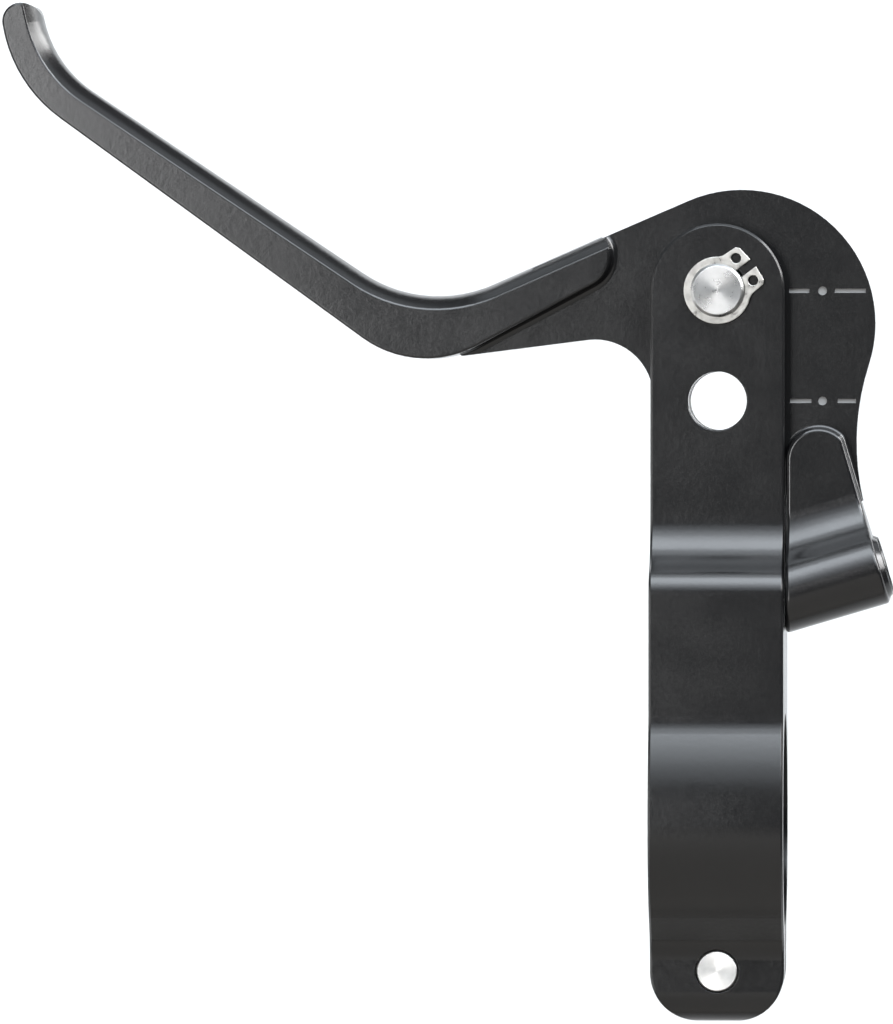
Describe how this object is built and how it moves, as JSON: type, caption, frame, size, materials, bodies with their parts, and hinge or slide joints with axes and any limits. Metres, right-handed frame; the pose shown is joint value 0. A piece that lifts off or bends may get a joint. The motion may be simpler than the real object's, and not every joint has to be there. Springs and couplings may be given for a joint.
{
  "type": "bicycle brake lever",
  "caption": "Black anodised flat-bar brake lever with a pinch clamp, a one-piece hooked blade on a pivot pin, and paired cable seats.",
  "frame": {"origin": "centre of the handlebar bore, midway along the clamp", "axes": "+X along the bar towards the stem, +Y forwards from the bar to the pivot, +Z along the pivot pin, upwards when the lever is mounted"},
  "size_m": [0.092, 0.105, 0.0268],
  "materials": {
    "black_anodised": "satin black anodised, bead blasted after machining",
    "turned_steel": "lathe turned",
    "spring_steel": "stamped spring steel, satin",
    "bolt_steel": "stainless, plain",
    "bushing_plastic": "moulded bearing plastic, natural white"
  },
  "bodies": {
    "body": {"clamp_body": "black_anodised", "pivot_pin": "turned_steel", "pivot_snap_ring": "spring_steel", "clamp_bolt": "bolt_steel", "clamp_bolt_washer": "bolt_steel"},
    "lever": {"brake_lever": "black_anodised", "pivot_bushing_front": "bushing_plastic", "pivot_bushing_rear": "bushing_plastic", "spare_bushing_front": "bushing_plastic", "spare_bushing_rear": "bushing_plastic"}
  },
  "joints": [
    {"name": "lever_pivot", "type": "hinge", "parent": "body", "child": "lever", "pos_m": [0, 0.05475, 0], "axis": [0, 0, 1], "range_deg": [0, 40]}
  ]
}
